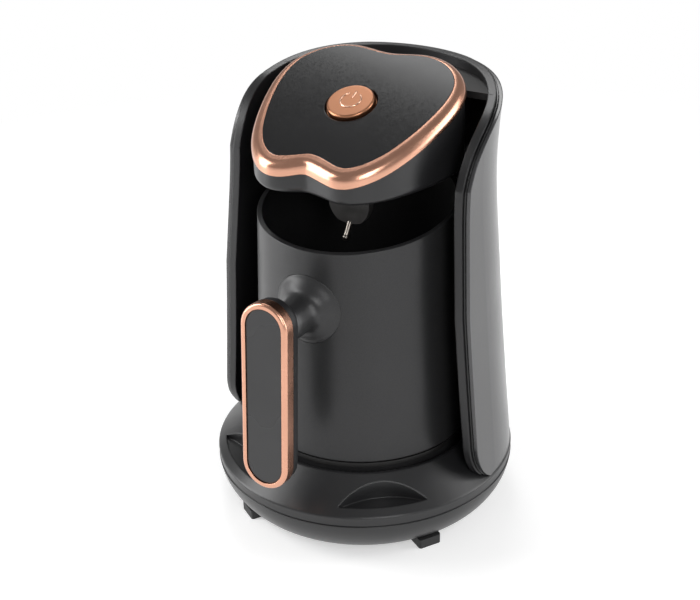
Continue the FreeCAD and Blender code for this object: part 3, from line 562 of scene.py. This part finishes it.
def flare_mesh():
    """Rings of (radius, height above the wall) in mm, and a straight tube after the last."""
    shape = bmesh.new()
    level = wall_radius(NECK_HEIGHT)
    rings = []
    for radius, height in FLARE:
        ring = []
        for spoke in range(SPOKES):
            turn = 2 * math.pi * spoke / SPOKES
            x = radius * MM * math.cos(turn)
            z = NECK_HEIGHT + radius * MM * math.sin(turn)
            wall = math.sqrt(wall_radius(z) ** 2 - x ** 2)
            follow = max(0.0, min(1.0, (radius - TUBE_RADIUS) / FOLLOW_WIDTH))
            foot = wall * follow + level * (1 - follow)
            ring.append(shape.verts.new((x, -foot - height * MM, z)))
        rings.append(ring)
    tube_end = []
    for vertex in rings[-1]:
        tube_end.append(shape.verts.new((vertex.co.x, NECK_END, vertex.co.z)))
    rings.append(tube_end)
    for lower, upper in zip(rings, rings[1:]):
        for spoke in range(SPOKES):
            after = (spoke + 1) % SPOKES
            shape.faces.new((lower[spoke], upper[spoke], upper[after], lower[after]))
    shape.faces.new(rings[0])
    shape.faces.new(list(reversed(tube_end)))
    mesh = bpy.data.meshes.new("flare")
    shape.to_mesh(mesh)
    shape.free()
    return mesh


pot_flare = mesh_piece("pot_flare", [flare_mesh()], pot_coat)
rounding = pot_flare.modifiers.new("rounding", "SUBSURF")
rounding.levels = 1
rounding.render_levels = 1
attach(pot_flare, "pot")
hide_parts("handle_neck")
print("flare:", len(pot_flare.data.polygons), "faces before subdivision")

# %% [markdown]
# ## Screws, by Geometry Nodes
# Eight cross-head screws close the base and the head from below. They are all one shape at many
# places, so one screw is modelled with care and a node tree puts a copy on each point, each
# turned by chance with a fixed seed. The tree has named inputs, so it serves both sizes. It
# ends by making the copies real and by setting the material.


# %% One screw
# Radius and height of each row, in head radii: the face, the rim, the neck and the shank's end.
SCREW_ROWS = [
    (0.16, -0.20), (0.34, -0.19), (0.52, -0.17), (0.60, -0.15), (0.84, -0.07), (1.0, 0.10),
    (1.0, 0.40), (0.50, 0.44), (0.50, 8.0),
]
SECTORS = 32
CROSS_CENTRE = 0.30
CROSS_DEPTH = 0.45
CROSS_REACH = 0.56
ARM_HALF_WIDTH = 0.13


def screw_mesh():
    """A pan head with a cross recess, 1 unit in radius, face down, with its shank upwards."""
    shape = bmesh.new()
    centre = shape.verts.new((0, 0, CROSS_CENTRE))
    last = None
    for radius, height in SCREW_ROWS:
        row = []
        for sector in range(SECTORS):
            turn = 2 * math.pi * sector / SECTORS
            x, y = radius * math.cos(turn), radius * math.sin(turn)
            in_arm = radius < CROSS_REACH and min(abs(x), abs(y)) < ARM_HALF_WIDTH
            row.append(shape.verts.new((x, y, height + (CROSS_DEPTH if in_arm else 0.0))))
        for sector in range(SECTORS):
            after = (sector + 1) % SECTORS
            if last:
                shape.faces.new((last[sector], row[sector], row[after], last[after]))
            else:
                shape.faces.new((centre, row[sector], row[after]))
        last = row
    shape.faces.new(list(reversed(last)))
    bmesh.ops.recalc_face_normals(shape, faces=shape.faces)
    mesh = bpy.data.meshes.new("screw")
    shape.to_mesh(mesh)
    shape.free()
    return mesh


# %% The tree that places them
QUARTER_TURN = 1.57
SCREW_SEED = 7


def screw_tree():
    tree = bpy.data.node_groups.new("place_screws", "GeometryNodeTree")
    sockets = [
        ("Points", "INPUT", "Geometry"), ("Screw", "INPUT", "Object"),
        ("Head Radius", "INPUT", "Float"), ("Finish", "INPUT", "Material"),
        ("Screws", "OUTPUT", "Geometry"),
    ]
    for name, in_out, kind in sockets:
        tree.interface.new_socket(name, in_out=in_out, socket_type="NodeSocket" + kind)
    start = tree.nodes.new("NodeGroupInput")
    end = tree.nodes.new("NodeGroupOutput")
    model = tree.nodes.new("GeometryNodeObjectInfo")
    turn = add_node(tree, "FunctionNodeRandomValue")
    turn.data_type = "FLOAT_VECTOR"
    turn.inputs["Min"].default_value = (0.0, 0.0, 0.0)
    turn.inputs["Max"].default_value = (0.0, 0.0, QUARTER_TURN)
    turn.inputs["Seed"].default_value = SCREW_SEED
    copies = tree.nodes.new("GeometryNodeInstanceOnPoints")
    real = tree.nodes.new("GeometryNodeRealizeInstances")
    paint = tree.nodes.new("GeometryNodeSetMaterial")
    tree.links.new(start.outputs["Points"], copies.inputs["Points"])
    tree.links.new(start.outputs["Screw"], model.inputs["Object"])
    tree.links.new(model.outputs["Geometry"], copies.inputs["Instance"])
    tree.links.new(turn.outputs["Value"], copies.inputs["Rotation"])
    tree.links.new(start.outputs["Head Radius"], copies.inputs["Scale"])
    tree.links.new(copies.outputs["Instances"], real.inputs["Geometry"])
    tree.links.new(real.outputs["Geometry"], paint.inputs["Geometry"])
    tree.links.new(start.outputs["Finish"], paint.inputs["Material"])
    tree.links.new(paint.outputs["Geometry"], end.inputs["Screws"])
    return tree


place_screws = screw_tree()
screw_model = bpy.data.objects.new("screw_model", screw_mesh())


def set_input(modifier, name, value):
    for item in modifier.node_group.interface.items_tree:
        if item.item_type == "SOCKET" and item.in_out == "INPUT" and item.name == name:
            modifier[item.identifier] = value


def screws(name, spots, head_radius, node):
    """Put a screw on each spot and let the group stand for a node of the frame."""
    points = bpy.data.meshes.new("spots")
    points.from_pydata(spots, [], [])
    holder = bpy.data.objects.new("spots", points)
    bpy.context.scene.collection.objects.link(holder)
    modifier = holder.modifiers.new("screws", "NODES")
    modifier.node_group = place_screws
    set_input(modifier, "Screw", screw_model)
    set_input(modifier, "Head Radius", head_radius)
    set_input(modifier, "Finish", steel)
    shown = holder.evaluated_get(bpy.context.evaluated_depsgraph_get())
    mesh = bpy.data.meshes.new_from_object(shown)
    bpy.data.objects.remove(holder)
    piece = mesh_piece(name, [mesh], steel)
    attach(piece, "housing")
    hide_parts(node)
    print(name + ":", len(piece.data.polygons), "faces")


FACE_HEIGHT = 0.2
base_low, base_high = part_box("base_screws")
BASE_HEAD = 3.0 * MM
aside = base_high.x - BASE_HEAD
base_z = base_low.z + FACE_HEIGHT * BASE_HEAD
base_spots = [(x * aside, y * aside, base_z) for x in (-1, 1) for y in (-1, 1)]
screws("base_closing_screws", base_spots, BASE_HEAD, "base_screws")

UNDERSIDE_HEAD = 2.6 * MM
under_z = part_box("underside_screws")[0].z + FACE_HEIGHT * UNDERSIDE_HEAD
under_places = [(-26, -20), (26, -20), (-28, 16), (28, 16)]
under_spots = [(x * MM, y * MM, under_z) for x, y in under_places]
screws("head_closing_screws", under_spots, UNDERSIDE_HEAD, "underside_screws")

# %% [markdown]
# ## Floor and light
# The floor is pale and plain. A pale background is not a brighter lamp: near the object the
# paper keeps its shadow and glows a little for rays from the camera or a mirror, and further
# out camera rays meet plain white. The world does the same above the floor. In reflections it
# is white only low down, where a paper backdrop would stand, and a dim room above. Large soft
# lamps stand left, in front, right and behind, as the highlights on shroud and pot show.

# %% Which rays see the background
def combine(tree, operation, first, second):
    node = tree.nodes.new("ShaderNodeMath")
    node.operation = operation
    tree.links.new(first, node.inputs[0])
    tree.links.new(second, node.inputs[1])
    return node.outputs[0]


def ray_kinds(tree):
    """1 for camera rays, and 1 for rays that come by way of a mirror or a glass."""
    rays = tree.nodes.new("ShaderNodeLightPath").outputs
    by_way = combine(tree, "MAXIMUM", rays["Is Glossy Ray"], rays["Is Transmission Ray"])
    return rays["Is Camera Ray"], by_way


# %% Paper that keeps the shadow
PALE = (0.80, 0.80, 0.80, 1.0)
WHITE = (1.0, 1.0, 1.0, 1.0)
PAPER_GLOW = 0.42


def mix_shaders(tree, share, first, second):
    """The first shader where share is 0, the second where it is 1."""
    mix = tree.nodes.new("ShaderNodeMixShader")
    tree.links.new(share, mix.inputs["Fac"])
    tree.links.new(first, mix.inputs[1])
    tree.links.new(second, mix.inputs[2])
    return mix.outputs[0]


floor_paper, tree, shader = start_material("floor_paper")
shader.inputs["Base Color"].default_value = PALE
shader.inputs["Roughness"].default_value = 0.5
paper_glow = add_node(tree, "ShaderNodeEmission", Color=WHITE, Strength=PAPER_GLOW)
no_glow = add_node(tree, "ShaderNodeEmission", Strength=0.0)
camera_rays, mirror_rays = ray_kinds(tree)
seen = combine(tree, "MAXIMUM", camera_rays, mirror_rays)
near_paper = tree.nodes.new("ShaderNodeAddShader")
tree.links.new(shader.outputs[0], near_paper.inputs[0])
glow = mix_shaders(tree, seen, no_glow.outputs[0], paper_glow.outputs[0])
tree.links.new(glow, near_paper.inputs[1])

# %% White further out
WHITE_BEGINS, WHITE_FULL = 0.25, 0.60
FLOOR_SIZE = 6.0
place = tree.nodes.new("ShaderNodeTexCoord")
reach = tree.nodes.new("ShaderNodeVectorMath")
reach.operation = "LENGTH"
far = add_node(tree, "ShaderNodeMapRange", From_Min=WHITE_BEGINS, From_Max=WHITE_FULL)
white = add_node(tree, "ShaderNodeEmission", Color=WHITE, Strength=1.0)
tree.links.new(place.outputs["Object"], reach.inputs[0])
tree.links.new(reach.outputs["Value"], far.inputs["Value"])
far_in_view = combine(tree, "MULTIPLY", far.outputs["Result"], camera_rays)
paper = mix_shaders(tree, far_in_view, near_paper.outputs[0], white.outputs[0])
tree.links.new(paper, tree.nodes["Material Output"].inputs["Surface"])

bpy.ops.mesh.primitive_plane_add(size=FLOOR_SIZE)
floor = bpy.context.object
floor.name = "studio_floor"
floor.data.materials.append(floor_paper)
print("floor material has", len(tree.nodes), "nodes")


# %% World
ROOM_STRENGTH = 0.38
BACKDROP_TOP = 0.2


def studio_world():
    world = bpy.data.worlds.new("studio_world")
    world.use_nodes = True
    tree = world.node_tree
    tree.nodes.clear()
    out = tree.nodes.new("ShaderNodeOutputWorld")
    room = add_node(tree, "ShaderNodeBackground", Color=PALE, Strength=ROOM_STRENGTH)
    paper = add_node(tree, "ShaderNodeBackground", Color=WHITE, Strength=1.0)
    place = tree.nodes.new("ShaderNodeTexCoord")
    height = tree.nodes.new("ShaderNodeSeparateXYZ")
    low = add_node(tree, "ShaderNodeMapRange", From_Max=BACKDROP_TOP, To_Min=1.0, To_Max=0.0)
    camera_rays, mirror_rays = ray_kinds(tree)
    tree.links.new(place.outputs["Generated"], height.inputs[0])
    tree.links.new(height.outputs["Z"], low.inputs["Value"])
    mirrored = combine(tree, "MULTIPLY", mirror_rays, low.outputs["Result"])
    seen = combine(tree, "MAXIMUM", camera_rays, mirrored)
    around = mix_shaders(tree, seen, room.outputs[0], paper.outputs[0])
    tree.links.new(around, out.inputs["Surface"])
    bpy.context.scene.world = world


studio_world()


# %% Lamps
def softbox(name, spot, look_at, size, power, roll=0.0):
    lamp = bpy.data.lights.new(name, "AREA")
    lamp.shape = "RECTANGLE"
    lamp.size, lamp.size_y = size
    lamp.energy = power
    thing = bpy.data.objects.new(name, lamp)
    bpy.context.scene.collection.objects.link(thing)
    thing.location = spot
    away = Vector(spot) - Vector(look_at)
    aimed = away.to_track_quat("Z", "Y").to_matrix() @ Matrix.Rotation(math.radians(roll), 3, "Z")
    thing.rotation_euler = aimed.to_euler()


BODY_MIDDLE = (0, 0, 0.1)
PANEL_MIDDLE = (0, 0, 0.19)
softbox("left_softbox", (-0.85, -0.45, 0.45), BODY_MIDDLE, (0.45, 1.0), 9.0)
softbox("front_softbox", (0.75, -0.75, 0.70), BODY_MIDDLE, (0.35, 0.7), 5.0)
softbox("right_softbox", (0.90, 0.45, 0.45), BODY_MIDDLE, (0.5, 0.9), 6.0)
softbox("back_softbox", (-0.51, 0.70, 1.02), PANEL_MIDDLE, (0.5, 0.5), 3.0, roll=45)
